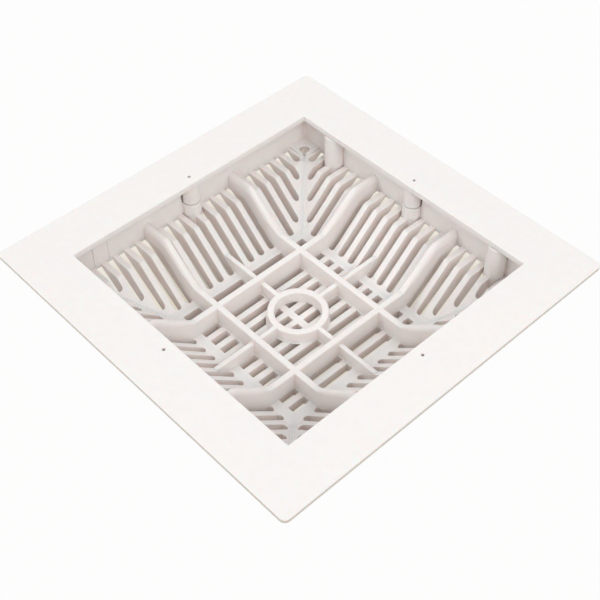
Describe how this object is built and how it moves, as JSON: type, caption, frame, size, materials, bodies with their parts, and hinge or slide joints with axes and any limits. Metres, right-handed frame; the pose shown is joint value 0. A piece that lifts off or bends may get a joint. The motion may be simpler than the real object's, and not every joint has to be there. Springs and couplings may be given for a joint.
{
  "type": "ceiling air diffuser",
  "caption": "Square flush ceiling air diffuser: a flat face frame over a recessed basket of slotted grilles, stiffened by a lattice of ribs round a centre ring.",
  "frame": {"origin": "centre of the flat underside of the basket, at the bottom of the part", "axes": "+Z from the basket's underside out through the face opening, +X and +Y square to the sides of the face frame"},
  "size_m": [0.305, 0.305, 0.074],
  "materials": {
    "moulded_plastic": "warm white satin moulded plastic",
    "screw_steel": "zinc plated steel"
  },
  "bodies": {
    "root": {"face_frame": "moulded_plastic", "rim_collar": "moulded_plastic", "floor_grille": "moulded_plastic", "floor_ribs": "moulded_plastic", "side_grille_north": "moulded_plastic", "side_grille_west": "moulded_plastic", "side_grille_south": "moulded_plastic", "side_grille_east": "moulded_plastic", "slope_rib_north_left": "moulded_plastic", "slope_rib_north_right": "moulded_plastic", "slope_rib_west_left": "moulded_plastic", "slope_rib_west_right": "moulded_plastic", "slope_rib_south_left": "moulded_plastic", "slope_rib_south_right": "moulded_plastic", "slope_rib_east_left": "moulded_plastic", "slope_rib_east_right": "moulded_plastic", "frame_screw_north": "screw_steel", "frame_screw_west": "screw_steel", "frame_screw_south": "screw_steel", "frame_screw_east": "screw_steel", "corner_screw_northeast": "screw_steel", "corner_screw_southeast": "screw_steel", "corner_screw_southwest": "screw_steel", "corner_screw_northwest": "screw_steel"}
  },
  "joints": []
}
